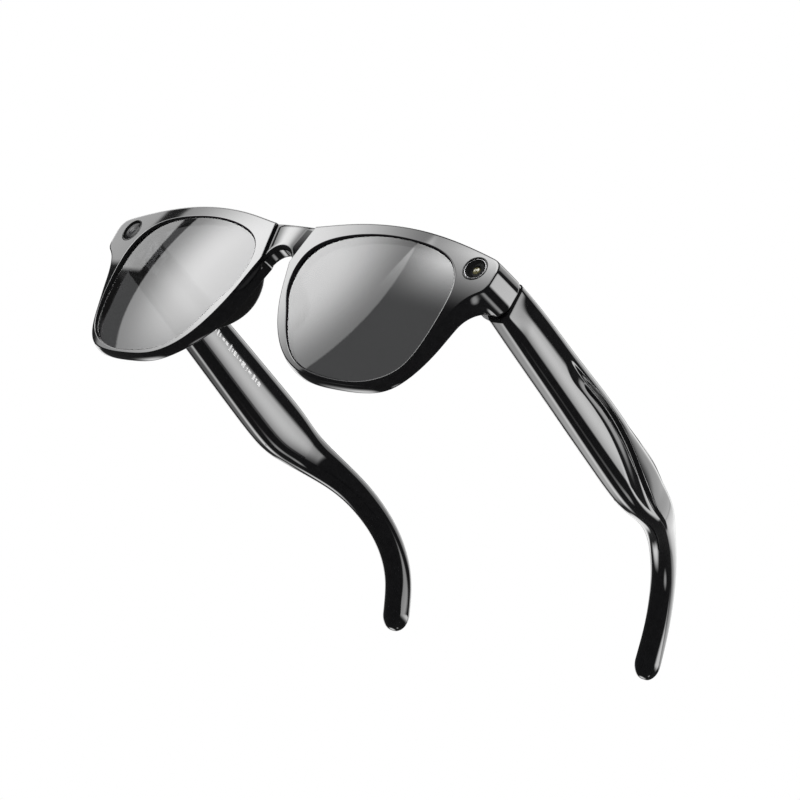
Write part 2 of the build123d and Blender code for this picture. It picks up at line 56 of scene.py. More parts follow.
LENS_SET = 0.2         # how far the lens stands behind the front face at its middle
LENS_MID = (34.9, -0.9)
EYE_X = 63.9           # the camera's axis; the capture light mirrors it
EYE_V = 15.7


def place(x, y, v):
    """The row-frame place, in metres, of a point given in the glasses' own millimetres."""
    return (x / 1000, (y + SHIFT_Y) / 1000, (v + LENS_Z) / 1000)


def face_y(x, v, depth=0.0):
    """Where the surface 'depth' behind the front face lies."""
    return FACE_R - np.sqrt((FACE_R - depth) ** 2 - np.square(x)) + np.square(v) / (2 * FACE_RISE_R)


def step(a, b, x):
    """0 below a, 1 above b and smooth in between."""
    t = np.clip((np.asarray(x, float) - a) / (b - a), 0, 1)
    return t * t * (3 - 2 * t)


def unit(d):
    """The same direction, one long."""
    d = np.asarray(d, float)
    return d / np.linalg.norm(d)


def spline(points, count, start=None, end=None):
    """'count' points along a smooth curve through the given ones."""
    p = np.array(points, float)
    n = len(p)
    h = np.linalg.norm(np.diff(p, axis=0), axis=1)
    t = np.concatenate([[0], np.cumsum(h)])
    a = np.zeros((n, n))
    b = np.zeros_like(p)
    for i in range(1, n - 1):
        a[i, i - 1:i + 2] = h[i], 2 * (h[i - 1] + h[i]), h[i - 1]
        b[i] = 3 * (h[i] * (p[i] - p[i - 1]) / h[i - 1] + h[i - 1] * (p[i + 1] - p[i]) / h[i])
    a[0, :2] = (1, 0) if start is not None else (2, 1)
    a[-1, -2:] = (0, 1) if end is not None else (1, 2)
    b[0] = unit(start) if start is not None else 3 * (p[1] - p[0]) / h[0]
    b[-1] = unit(end) if end is not None else 3 * (p[-1] - p[-2]) / h[-1]
    m = np.linalg.solve(a, b)
    u = np.linspace(0, t[-1], count)
    k = np.clip(np.searchsorted(t, u, side="right") - 1, 0, n - 2)
    s = ((u - t[k]) / h[k])[:, None]
    w = h[k][:, None]
    return ((2 * s ** 3 - 3 * s ** 2 + 1) * p[k] + (s ** 3 - 2 * s ** 2 + s) * w * m[k]
            + (3 * s ** 2 - 2 * s ** 3) * p[k + 1] + (s ** 3 - s ** 2) * w * m[k + 1])


def closed_spline(points, count):
    """'count' evenly spread points round a smooth loop through the given ones."""
    p = list(points)
    long = spline(p + p + p + p[:1], 3 * 40 * len(p) + 1)
    third = long[40 * len(p):80 * len(p) + 1]
    return even(third, count)


def even(line, count):
    """The same line with 'count' evenly spaced points; the end point of a loop is left off."""
    d = np.concatenate([[0], np.cumsum(np.linalg.norm(np.diff(line, axis=0), axis=1))])
    closed = np.linalg.norm(line[0] - line[-1]) < 1e-6
    u = np.linspace(0, d[-1], count + 1)[:-1] if closed else np.linspace(0, d[-1], count)
    return np.stack([np.interp(u, d, line[:, i]) for i in range(line.shape[1])], 1)


def outward(loop):
    """Unit normals of a closed 2-D loop, pointing away from its middle."""
    along = np.roll(loop, -1, 0) - np.roll(loop, 1, 0)
    n = np.stack([along[:, 1], -along[:, 0]], 1)
    n /= np.linalg.norm(n, axis=1)[:, None]
    if ((loop - loop.mean(0)) * n).sum() < 0:
        n = -n
    return n


# Materials -------------------------------------------------------------------------------

def shader(name):
    """A new material, its node tree and its main shader."""
    m = bpy.data.materials.new(name)
    m.use_nodes = True
    return m, m.node_tree, m.node_tree.nodes["Principled BSDF"]


def noise(tree, scale, detail=2.0, stretch=None):
    """A noise texture in the object's own coordinates."""
    where = tree.nodes.new("ShaderNodeTexCoord")
    n = tree.nodes.new("ShaderNodeTexNoise")
    n.inputs["Scale"].default_value = scale
    n.inputs["Detail"].default_value = detail
    if stretch:
        size = tree.nodes.new("ShaderNodeMapping")
        size.inputs["Scale"].default_value = stretch
        tree.links.new(where.outputs["Object"], size.inputs["Vector"])
        tree.links.new(size.outputs["Vector"], n.inputs["Vector"])
    else:
        tree.links.new(where.outputs["Object"], n.inputs["Vector"])
    return n


def spread(tree, source, low, high):
    """A colour or value between low and high, by the source."""
    ramp = tree.nodes.new("ShaderNodeValToRGB")
    for stop, c in zip(ramp.color_ramp.elements, (low, high)):
        stop.color = (*c, 1) if isinstance(c, tuple) else (c, c, c, 1)
    ramp.color_ramp.elements[0].position = 0.35
    ramp.color_ramp.elements[1].position = 0.65
    tree.links.new(source, ramp.inputs["Fac"])
    return ramp.outputs["Color"]


BUMP_DEPTH = 0.00005   # metres


def finish_of(name, low, high, rough, metal=0.0, scale=900.0, bump=0.0, stretch=None, ior=1.5):
    """A moulded or metal surface: its colour and roughness vary a little by noise."""
    m, tree, bsdf = shader(name)
    n = noise(tree, scale, 3.0, stretch)
    tree.links.new(spread(tree, n.outputs["Fac"], low, high), bsdf.inputs["Base Color"])
    wide = noise(tree, scale / 12, 2.0)
    tree.links.new(spread(tree, wide.outputs["Fac"], rough[0], rough[1]), bsdf.inputs["Roughness"])
    bsdf.inputs["Metallic"].default_value = metal
    bsdf.inputs["IOR"].default_value = ior
    if bump:
        b = tree.nodes.new("ShaderNodeBump")
        b.inputs["Strength"].default_value = bump
        b.inputs["Distance"].default_value = BUMP_DEPTH
        tree.links.new(n.outputs["Fac"], b.inputs["Height"])
        tree.links.new(b.outputs["Normal"], bsdf.inputs["Normal"])
    return m


def glass(name, tint, ior=1.5):
    """A clear polished material that tints what is seen through it."""
    m, tree, bsdf = shader(name)
    n = noise(tree, 60.0, 1.0)
    low = tuple(c * 0.97 for c in tint)
    tree.links.new(spread(tree, n.outputs["Fac"], low, tint), bsdf.inputs["Base Color"])
    bsdf.inputs["Transmission Weight"].default_value = 1.0
    bsdf.inputs["Roughness"].default_value = 0.0
    bsdf.inputs["IOR"].default_value = ior
    return m


# colour from and to, then roughness from and to
gloss = finish_of("gloss_black", (0.0035, 0.0035, 0.004), (0.0055, 0.0055, 0.006), (0.03, 0.045), scale=700.0)
cover_gloss = finish_of("cover_black", (0.004, 0.004, 0.0045), (0.006, 0.006, 0.0065), (0.03, 0.05), scale=600.0)
pad_black = finish_of("pad_black", (0.004, 0.004, 0.004), (0.006, 0.006, 0.006), (0.05, 0.08), scale=600.0)
lens_glass = glass("tinted_lens", (0.058, 0.0585, 0.0595), ior=1.42)
clear_glass = glass("optic_glass", (0.8, 0.82, 0.83))
smoked = glass("light_window", (0.3, 0.31, 0.33))
smoked_face = finish_of("smoked_window", (0.008, 0.008, 0.009), (0.014, 0.014, 0.015), (0.12, 0.2),
                        scale=1500.0, ior=1.16)
dark_dome = finish_of("light_dome", (0.03, 0.03, 0.032), (0.05, 0.05, 0.053), (0.2, 0.3), scale=2500.0, ior=1.2)
ring_metal = finish_of("ring_metal", (0.2, 0.2, 0.205), (0.27, 0.27, 0.275), (0.16, 0.24), metal=1.0, scale=2500.0)
dark_ring = finish_of("dark_ring", (0.006, 0.006, 0.006), (0.01, 0.01, 0.01), (0.12, 0.2), scale=1500.0, ior=1.22)
matte_black = finish_of("lens_barrel", (0.006, 0.006, 0.006), (0.012, 0.012, 0.012), (0.35, 0.5),
                        scale=3000.0, bump=0.3, ior=1.08)
optic = finish_of("optic_centre", (0.1, 0.09, 0.04), (0.16, 0.145, 0.07), (0.12, 0.2), scale=2500.0)
board = finish_of("board_green", (0.01, 0.06, 0.03), (0.02, 0.1, 0.05), (0.3, 0.45), scale=1800.0, bump=0.2)
amber = finish_of("flex_amber", (0.28, 0.12, 0.02), (0.38, 0.18, 0.04), (0.3, 0.4), scale=900.0)
steel = finish_of("hinge_steel", (0.1, 0.1, 0.103), (0.15, 0.15, 0.153), (0.22, 0.32), metal=1.0, scale=2200.0,
                  stretch=(1, 1, 8), bump=0.15)
gold = finish_of("contact_gold", (0.75, 0.52, 0.2), (0.86, 0.64, 0.3), (0.15, 0.22), metal=1.0, scale=1500.0)
foil = finish_of("battery_foil", (0.5, 0.5, 0.52), (0.65, 0.65, 0.67), (0.25, 0.4), metal=1.0,
                 scale=800.0, bump=0.3)
mark_grey = finish_of("mark_grey", (0.7, 0.7, 0.7), (0.85, 0.85, 0.85), (0.4, 0.5), scale=2000.0)


# Pieces ----------------------------------------------------------------------------------

def piece(name, verts, faces, material, body, slot, replaces=(), sharp=None):
    """A mesh from points in the glasses' millimetres, smooth shaded, riding on a body."""
    mesh = bpy.data.meshes.new(name)
    mesh.from_pydata([place(*p) for p in verts], [], [tuple(int(i) for i in f) for f in faces])
    mesh.validate()
    mesh.update()
    obj = bpy.data.objects.new(name, mesh)
    bpy.context.scene.collection.objects.link(obj)
    for poly in mesh.polygons:
        poly.use_smooth = True
    mesh.materials.append(material)
    fix_normals(mesh)
    if sharp:
        mesh.set_sharp_from_angle(angle=radians(sharp))
    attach(obj, body)
    if replaces:
        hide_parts(*replaces)
    return obj


def fix_normals(mesh):
    """Merges doubled points and turns every face outwards."""
    bm = bmesh.new()
    bm.from_mesh(mesh)
    bmesh.ops.remove_doubles(bm, verts=bm.verts, dist=1e-6)
    bmesh.ops.dissolve_degenerate(bm, edges=bm.edges, dist=1e-7)
    bmesh.ops.recalc_face_normals(bm, faces=bm.faces)
    bm.to_mesh(mesh)
    bm.free()


def grid_faces(rows, cols, start=0, wrap_rows=False, wrap_cols=False):
    """Quads over points laid out row by row."""
    faces = []
    for i in range(rows if wrap_rows else rows - 1):
        for j in range(cols if wrap_cols else cols - 1):
            a, b = i * cols + j, i * cols + (j + 1) % cols
            c, d = ((i + 1) % rows) * cols + (j + 1) % cols, ((i + 1) % rows) * cols + j
            faces.append((start + a, start + b, start + c, start + d))
    return faces


def mirrored(verts, faces):
    """The mirror image across the middle, faces turned round to match."""
    return [(-x, y, v) for x, y, v in verts], [tuple(reversed(f)) for f in faces]


def join(*parts):
    """One list of points and faces from several."""
    verts, faces = [], []
    for v, f in parts:
        base = len(verts)
        verts += [tuple(p) for p in v]
        faces += [tuple(base + i for i in q) for q in f]
    return verts, faces


# Front frame -----------------------------------------------------------------------------

LENS_POINTS = ((34.0, 20.5), (25.5, 19.7), (18.0, 17.8), (13.3, 15.5), (10.3, 12.4), (9.1, 8.6), (9.1, 4.8),
               (10.5, -0.4), (13.2, -5.2), (16.4, -10.9), (20.6, -16.4), (24.4, -19.3), (29.0, -21.0),
               (39.0, -22.1), (46.6, -21.4), (52.4, -19.2), (56.6, -15.6), (58.9, -10.2), (60.2, -1.4),
               (60.4, 5.4), (59.4, 11.0), (56.2, 15.7), (50.6, 18.7), (43.2, 20.1))


def lens_loop(count):
    return closed_spline(LENS_POINTS, count)


def front_loop(spacing):
    """The wearer's left rim and end piece, from the crease's top round to its foot and up the crease."""
    brow = spline([(7.4, 20.5), (19, 22.8), (32, 24.15), (43, 24.0), (54, 22.6), (62, 21.0), (67.8, 19.6)], 120,
                  start=(1, 0.19), end=(1, -0.27))
    corner = spline([(67.8, 19.6), (69.9, 18.4), (70.75, 15.8)], 14, start=(1, -0.27), end=(0.05, -1))
    side = np.array([(70.75, 15.8), (70.55, 12.0)])
    under = spline([(70.55, 12.0), (69.7, 9.8), (68.3, 8.6), (66.6, 7.0), (64.7, 4.0), (62.6, -1.7)], 36,
                   start=(-0.05, -1), end=(-0.28, -1))
    rim = spline([(62.6, -1.7), (60.5, -8.7), (57.9, -16.2), (54.4, -20.5), (48, -22.8), (38.5, -23.5),
                  (28, -22.6), (19, -18.0), (12.6, -10.4), (8.4, -1.6), (6.5, 4.5), (5.2, 8.8)], 200,
                 start=(-0.28, -1), end=(-0.3, 1))
    crease = np.array([(5.2, 8.8), (7.4, 20.5)])
    line = np.concatenate([brow, corner[1:], side[1:], under[1:], rim[1:], crease[1:]])
    length = np.linalg.norm(np.diff(line, axis=0), axis=1).sum()
    return even(line, int(length / spacing))


def bearing(points):
    """The direction of each point from the lens's middle, in radians."""
    d = points - np.array(LENS_MID)
    return np.arctan2(d[:, 1], d[:, 0])


def rim_mesh():
    """One side of the front: a closed section carried round the lens opening and the end piece."""
    outer = front_loop(0.42)
    normal = outward(outer)
    for _ in range(2):
        normal = normal + np.roll(normal, 1, 0) + np.roll(normal, -1, 0)
        normal /= np.linalg.norm(normal, axis=1)[:, None]
    opening = lens_loop(1400)
    hole_normal = outward(opening)
    angle = bearing(opening)
    order = np.argsort(angle)
    at = bearing(outer)
    inner = np.stack([np.interp(at, angle[order], opening[order, i], period=2 * pi) for i in (0, 1)], 1)
    inward = np.stack([np.interp(at, angle[order], -hole_normal[order, i], period=2 * pi) for i in (0, 1)], 1)
    x, v = outer[:, 0], outer[:, 1]
    # 1 on the end piece, 0 on the rim
    end_top = step(59.6, 61.6, x) * (v > 5)
    end_under = step(0.0, 8.8, v) ** 1.5 * (x > 60)
    end = np.where(v > 15, end_top, end_under)
    # how far round the end piece: 0 at its top inner edge, 1 at its lower inner edge
    on_end = (x > 60.0) & (v > -2.5)
    idx = np.where(on_end)[0]
    gone = np.zeros(len(x))
    gone[idx] = np.linspace(0, 1, len(idx))
    fy = face_y(x, v)
    rim_depth = RIM_DEPTH - RIM_THINNING * (1 - step(-21.5, -6.0, v))
    rear_y = (1 - end) * (fy + rim_depth) + end * SEAM_Y
    lift = np.where(v < 15, end * np.clip(END_LOW - v, 0, 20), 0)
    depth = rear_y - fy
    rows = []

    def add(xy, y):
        rows.append(np.stack([xy[:, 0], y, xy[:, 1]], 1))

    def shift(base, direction, amount):
        return base + direction * (np.asarray(amount)[:, None] if np.ndim(amount) else amount)

    # lens opening, from the back to the front face
    for back, grow in ((rim_depth - 0.35, 0.0), (2.2, 0.0), (0.62, 0.0), (0.5, 0.03), (0.12, 0.3), (0.03, 0.4)):
        p = shift(inner, inward, -grow)
        add(p, face_y(p[:, 0], p[:, 1]) + back)
    near = shift(inner, inward, -0.52)
    far = shift(outer, normal, -0.34)
    for t in (0.0, 0.04, 0.15, 0.3, 0.45, 0.6, 0.75, 0.88, 0.96, 1.0):
        p = near + (far - near) * t
        add(p, face_y(p[:, 0], p[:, 1]))
    # outer edge and wall
    for out, back in ((-0.2, 0.02), (-0.08, 0.1), (-0.02, 0.24), (0.0, 0.4)):
        p = shift(outer, normal, out)
        add(p, fy + back)
    belly = BELLY - END_BELLY_LESS * end
    for t in (0.05, 0.15, 0.3, 0.45, 0.6, 0.75, 0.88, 0.96):
        d = 0.4 + t * (depth - 1.0)
        p = shift(outer, normal, belly * np.sin(t * pi / 2) ** 0.9)
        p[:, 1] += lift * step(0.1, 1.0, t)
        add(p, fy + d)
    for out, back in ((0.0, -0.42), (-0.1, -0.22), (-0.3, -0.06), (-0.6, 0.0)):
        p = shift(outer, normal, belly + out)
        p[:, 1] += lift
        add(p, rear_y + back)
    # across the back: the rim's rear face, or the end piece's cap and inner side
    out = shift(outer, normal, belly - 0.6)
    out[:, 1] += lift
    hole = shift(inner, inward, -0.35)
    cap = np.stack([np.full(len(x), END_IN_X + 0.3), END_HIGH - (END_HIGH - END_LOW) * gone], 1)
    foot = np.stack([np.full(len(x), END_IN_X), END_HIGH - (END_HIGH - END_LOW) * gone], 1)
    e = end[:, None]
    web = foot + (hole - foot) * 0.25
    for target, t, back in ((cap, 0.2, 0.0), (foot, 0.26, -0.35), (foot, 0.33, None), (web, 0.5, None)):
        rim_point = out + (hole - out) * t
        p = (1 - e) * rim_point + e * target
        rear = face_y(p[:, 0], p[:, 1]) + rim_depth
        y = rear if back is None else (1 - end) * rear + end * (SEAM_Y + back)
        add(p, y)
    p = hole + (out - hole) * 0.02
    add(p, face_y(p[:, 0], p[:, 1]) + rim_depth)
    p = shift(inner, inward, -0.1)
    add(p, face_y(p[:, 0], p[:, 1]) + rim_depth - 0.08)
    grid = np.stack(rows, 1)
    n, m = grid.shape[:2]
    return grid.reshape(-1, 3).tolist(), grid_faces(n, m, 0, True, True)


def bridge_mesh():
    """The saddle between the two creases, lofted across from rounded sections."""
    across = 61
    arch = spline([(-5.9, 6.0), (-5.3, 8.2), (-3.6, 11.2), (0, 12.7), (3.6, 11.2), (5.3, 8.2), (5.9, 6.0)], 241)
    r_foot, r_top = 1.25, 0.35
    verts = []
    for u in np.linspace(-1.12, 1.12, across):
        foot_x = 5.2 * u
        foot_v = float(np.interp(foot_x, arch[:, 0], arch[:, 1]))
        top_x, top_v = 7.4 * u, 20.5 - 0.25 * (1 - u * u)
        front = 0.1 + 0.6 * u * u
        rear = RIM_DEPTH - 0.02
        tall = top_v - foot_v
        loop = []
        for a in np.linspace(pi, pi / 2, 5)[:-1]:
            loop.append((front + r_top + r_top * cos(a), tall - r_top + r_top * sin(a)))
        for a in np.linspace(pi / 2, 0, 5):
            loop.append((rear - r_top + r_top * cos(a), tall - r_top + r_top * sin(a)))
        for a in np.linspace(0, -pi / 2, 9):
            loop.append((rear - r_foot + r_foot * cos(a), r_foot + r_foot * sin(a)))
        for a in np.linspace(-pi / 2, -pi, 9):
            loop.append((front + r_foot + r_foot * cos(a), r_foot + r_foot * sin(a)))
        for t in (0.1, 0.3, 0.5, 0.7, 0.9):
            loop.append((front, r_foot + t * (tall - r_foot - r_top)))
        for y, h in loop:
            w = h / tall
            x = foot_x + (top_x - foot_x) * w
            v = foot_v + h
            verts.append((x, float(face_y(x, v)) + y, v))
    cols = len(loop)
    faces = grid_faces(across, cols, 0, False, True)
    faces.append(tuple(range(cols)))
    faces.append(tuple(reversed(range((across - 1) * cols, across * cols))))
    return verts, faces


rim = rim_mesh()
front_frame = piece("front_frame_moulding", *join(rim, mirrored(*rim)), gloss, "front",
                    "frame_gloss", ("front_frame",), sharp=50)
piece("bridge_saddle", *bridge_mesh(), gloss, "front", "frame_gloss", sharp=60)


# Lenses ----------------------------------------------------------------------------------

def lens_mesh():
    """A tinted lens, ground to a sphere, that fills its opening."""
    turn = np.arcsin(LENS_MID[0] / FACE_R)
    reach = LENS_R + LENS_SET
    centre = np.array([LENS_MID[0] - reach * sin(turn), float(face_y(LENS_MID[0], 0)) + reach * cos(turn),
                       LENS_MID[1]])
    loop = lens_loop(240)
    middle = np.array(LENS_MID)
    rings = np.concatenate([np.linspace(0.04, 0.97, 28), [1.004]])
    verts = []
    for radius in (LENS_R, LENS_R - LENS_THICK):
        for s in rings:
            p = middle + (loop - middle) * s
            y = centre[1] - np.sqrt(radius ** 2 - (p[:, 0] - centre[0]) ** 2 - (p[:, 1] - centre[2]) ** 2)
            verts += list(zip(p[:, 0], y, p[:, 1]))
    n, k = len(loop), len(rings)
    front = grid_faces(k, n, 0, False, True)
    back = grid_faces(k, n, k * n, False, True)
    faces = front + [tuple(reversed(f)) for f in back]
    faces.append(tuple(reversed(range(n))))
    faces.append(tuple(range(k * n, k * n + n)))
    faces += [((k - 1) * n + i, (k - 1) * n + (i + 1) % n, (2 * k - 1) * n + (i + 1) % n, (2 * k - 1) * n + i)
              for i in range(n)]
    return [tuple(float(c) for c in p) for p in verts], faces


lens = lens_mesh()
piece("lens_tinted_left", *lens, lens_glass, "front", "tinted_lens", ("lens_left",), sharp=40)
piece("lens_tinted_right", *mirrored(*lens), lens_glass, "front", "tinted_lens", ("lens_right",), sharp=40)


# Nose pads -------------------------------------------------------------------------------

PAD_TOP = 7.4
PAD_FOOT = -13.0


def pad_mesh():
    """A pad that grows back out of the rim's nose side as one tongue, thickest in its middle."""
    loop = front_loop(0.3)
    away = outward(loop)
    side = (loop[:, 0] < 20) & (loop[:, 1] > PAD_FOOT) & (loop[:, 1] < PAD_TOP)
    loop, away = loop[side], away[side]
    keep = np.argsort(loop[:, 1])
    loop, away = even(loop[keep], 44), even(away[keep], 44)
    verts = []
    around = 30
    for (x, v), n in zip(loop, away):
        s = (v - PAD_FOOT) / (PAD_TOP - PAD_FOOT)
        swell = sin(pi * min(max(s, 0.0), 1.0) ** 1.12) ** 0.62
        reach = 2.0 + 7.9 * swell
        thick = 0.4 + 3.1 * swell
        fy = float(face_y(x, v))
        for a in np.linspace(0, 2 * pi, around + 1)[:-1]:
            c, d = cos(a), sin(a)
            across = thick / 2 * np.sign(c) * abs(c) ** 0.7
            along = np.sign(d) * abs(d) ** 0.55
            back = 1.6 + (reach - 1.6) * (along + 1) / 2
            lean = 0.34 - thick / 2 + across - 0.16 * max(back - 3.0, 0) * swell
            verts.append((x + n[0] * lean, fy + back, v + n[1] * lean))
    rows = len(loop)
    faces = grid_faces(rows, around, 0, False, True)
    faces.append(tuple(reversed(range(around))))
    faces.append(tuple(range((rows - 1) * around, rows * around)))
    return verts, faces


pad = pad_mesh()
piece("nose_pad_moulded_left", *pad, pad_black, "front", "pad_plastic", ("nose_pad_left",))
piece("nose_pad_moulded_right", *mirrored(*pad), pad_black, "front", "pad_plastic", ("nose_pad_right",))


# Temples ---------------------------------------------------------------------------------

# Down the temple: y, middle x, middle v, width, height, lean down and swing inwards in degrees, corner radius.
TEMPLE = (
    (16.5, 66.85, 13.75, 7.3, 11.5, 0, 0, 2.1),
    (30.0, 66.95, 12.3, 7.4, 12.9, 2, 0, 2.3),
    (46.0, 67.05, 10.4, 7.5, 13.9, 4, 0, 2.5),
    (62.0, 67.15, 8.5, 7.6, 15.0, 6, 0, 2.7),
    (78.0, 67.25, 6.6, 7.7, 16.0, 7, 0, 2.9),
    (90.0, 67.2, 5.3, 7.7, 16.2, 7, 3, 3.0),
    (98.0, 66.6, 4.8, 7.3, 14.2, 5, 12, 2.9),
    (105.5, 64.9, 4.5, 6.5, 11.4, 3, 20, 2.6),
    (113.5, 61.4, 3.9, 5.7, 9.3, 6, 24, 2.4),
    (122.3, 57.4, 2.3, 5.3, 8.3, 16, 24, 2.4),
    (131.0, 53.8, -1.0, 5.2, 7.9, 29, 22, 2.4),
    (138.6, 50.8, -6.2, 5.2, 7.8, 45, 20, 2.5),
    (144.5, 48.8, -13.3, 5.3, 7.8, 60, 16, 2.6),
    (148.3, 47.8, -21.0, 5.5, 7.8, 68, 8, 2.7),
)
TIP_LENGTH = 4.9
# The swept ridge on the outer face and the lower edge of the scoop under it: y, v.
RIDGE = ((40.0, 13.7), (46.0, 13.0), (53.0, 12.6), (60.0, 12.3), (66.0, 11.6), (73.0, 10.0), (80.0, 7.7),
         (87.0, 4.8), (93.0, 2.7), (99.0, 1.5), (106.0, 1.6))
SCOOP = ((40.0, 12.6), (46.0, 9.8), (53.0, 9.2), (60.0, 8.4), (66.0, 7.2), (73.0, 5.0), (80.0, 2.0),
         (87.0, -1.4), (93.0, -3.4), (99.0, -3.2), (106.0, -2.0))
DROP = 0.9             # how far above the ridge's foot its crest is
DIP = 1.05             # how deep the scoop is
SHOULDER = 0.2         # how far the face above the ridge leans in, a millimetre up
OUTER_COLUMNS = (16, 22, 6, 12)    # points up the outer face, between its foot, scoop, ridge, crest and corner
OUTER_CROWN = 0.8      # how far the outer face bulges, then the left and right inner faces
PLAIN_CROWN = 0.1
ROUND_CROWN = 0.8

ridge_line = spline(RIDGE, 300)
scoop_line = spline(SCOOP, 300)


def ridge_at(y):
    """The ridge's height at a distance down the temple."""
    return float(np.interp(y, ridge_line[:, 0], ridge_line[:, 1]))


def scoop_at(y):
    """The height of the scoop's lower edge there."""
    return float(np.interp(y, scoop_line[:, 0], scoop_line[:, 1]))


def sculpt(y, v):
    """How far in the outer face lies at a place on the temple, millimetres."""
    ridge, scoop = ridge_at(y), scoop_at(y)
    fade = float(step(42, 57, y) * (1 - step(94, 112, y)))
    slope = SHOULDER * float(step(58, 78, y) * (1 - step(98, 114, y))) * max(v - ridge - DROP, 0)
    t = (v - scoop) / (ridge - scoop)
    if t < 1:
        dip = DIP * float(step(0, 1, t))
    else:
        dip = DIP * (1 - float(step(0, DROP, v - ridge)))
    return fade * dip + slope


def section(row, shrink=0.0):
    """Offsets (out, up) round one section of the temple, starting at the foot of its outer face."""
    y, _, v, wide, tall, _, _, radius = row
    a, b = wide / 2 - shrink, tall / 2 - shrink
    small = max(min(radius, 0.95 * a, 0.95 * b) - shrink, 0.3 * min(a, b))
    growth = 0.5 * float(step(22, 48, y)) + 2.3 * float(step(72, 90, y) * (1 - step(94, 112, y)))
    big = max(min(radius + growth, 0.95 * a, 0.95 * b) - shrink, 0.3 * min(a, b))
    low, high = -b + small, b - big
    ridge = min(max(ridge_at(y) - v, low + 0.5), high - DROP - 0.3)
    scoop = min(max(scoop_at(y) - v, low + 0.25), ridge - 0.2)
    if high - low < 1.8:
        marks = [low + (high - low) * t for t in (0, 0.3, 0.7, 0.8, 1)]
    else:
        marks = [low, scoop, ridge, ridge + DROP, high]
    points = []
    for n, (start, stop) in zip(OUTER_COLUMNS, zip(marks, marks[1:])):
        points += [(a, start + (stop - start) * t) for t in np.linspace(0, 1, n + 1)[:-1]]
    for cx, cy, r, turn in ((a - big, b - big, big, 0), (-a + small, b - small, small, 1),
                            (-a + small, -b + small, small, 2), (a - small, -b + small, small, 3)):
        points += [(cx + r * cos(t), cy + r * sin(t))
                   for t in np.linspace(turn * pi / 2, (turn + 1) * pi / 2, 11 if turn else 27)]
        if turn < 3:
            long = 24 if turn == 1 else 4
            nx, ny = ((-a + small, b), (-a, -b + small), (a - small, -b))[turn]
            px, py = points[-1]
            points += [(px + (nx - px) * t, py + (ny - py) * t) for t in np.linspace(0, 1, long + 1)[1:-1]]
    return points[:-1]


def axes(row):
    """The middle of one section and its directions out, up and along."""
    y, x, v, _, _, lean, swing, _ = row
    t, s = radians(lean), radians(swing)
    along = np.array([-sin(s) * cos(t), cos(s) * cos(t), -sin(t)])
    side = np.array([cos(s), sin(s), 0.0])
    square = float(step(40, 90, y))
    up = unit((1 - square) * np.array([0, 0, 1.0]) + square * np.cross(side, along))
    return np.array([x, y, v]), side, up, along


def skin(row, a, b, inner_crown, proud=0.0):
    """The place on the temple's surface at offsets a out and b up, with its crown and sculpting."""
    base, side, up, _ = axes(row)
    y, _, _, wide, tall = row[:5]
    crown = max(1 - (2 * b / tall) ** 2, 0)
    start = float(step(17, 26, y))
    p = base + side * a + up * b
    if a > 0:
        lift = OUTER_CROWN * crown * start
        return p + side * (lift - sculpt(p[1], p[2])) * float(step(0.0, 0.7 * wide / 2, a))
    return p - side * (inner_crown * crown * start * float(step(0.0, 0.7 * wide / 2, -a)) + proud)


def temple_mesh(inner_crown):
    """The whole temple as one skin, from its bevelled front edge to the rounded tip."""
    stations = spline(TEMPLE, 400)
    rings = []

    def ring(row, shrink=0.0, forward=0.0):
        ahead = axes(row)[3] * forward
        rings.append([tuple(skin(row, a, b, inner_crown) + ahead) for a, b in section(row, shrink)])

    first = stations[0]
    for shrink, forward in ((2.4, 0.25), (0.75, 0.25), (0.45, 0.3), (0.15, 0.5), (0.0, 0.85)):
        ring(first, shrink, forward)
    for row in stations[2:]:
        ring(row)
    last = stations[-1]
    for a in np.linspace(0, pi / 2, 14)[1:]:
        row = list(last)
        for i in (3, 4, 7):
            row[i] = last[i] * max(cos(a), 0.03)
        ring(row, 0.0, TIP_LENGTH * sin(a))
    cols, rows = len(rings[0]), len(rings)
    faces = grid_faces(rows, cols, 0, False, True)
    faces.append(tuple(reversed(range(cols))))
    faces.append(tuple(range((rows - 1) * cols, rows * cols)))
    return [p for r in rings for p in r], faces


piece("temple_moulding_left", *temple_mesh(PLAIN_CROWN), gloss, "temple_left", "frame_gloss",
      ("temple_shell_left",), sharp=55)
piece("temple_moulding_right", *mirrored(*temple_mesh(ROUND_CROWN)), gloss, "temple_right", "frame_gloss",
      ("temple_shell_right",), sharp=55)

COVER_START = 24.0
COVER_END = 88.0
LONG_COVER_END = 112.0
COVER_MARGIN = 0.2             # between the cover and the temple's rounded edges
COVER_EDGE = 1.2               # how long the cover's rounded ends are, and how much lower they get
COVER_NARROWING = 1.4
SLIDER_START, SLIDER_END = 34.5, 47.5      # the power slider's window, its middle and half its height
SLIDER_V, SLIDER_HALF = 10.85, 2.2
SLIDER_OVERLAP = 1.3            # how far the strips over and under the window run on past its ends
MARK_START = 42.5
MARK_LINE = 0.9                # how far above the cover's middle the marks are
MARK_TALL = 1.15               # what the marks' heights are multiplied by

cover_stations = spline(TEMPLE, 330)


def station_at(y):
    """The temple's section at a distance down it, as one row of TEMPLE."""
    return [float(np.interp(y, cover_stations[:, 0], cover_stations[:, i])) for i in range(8)]


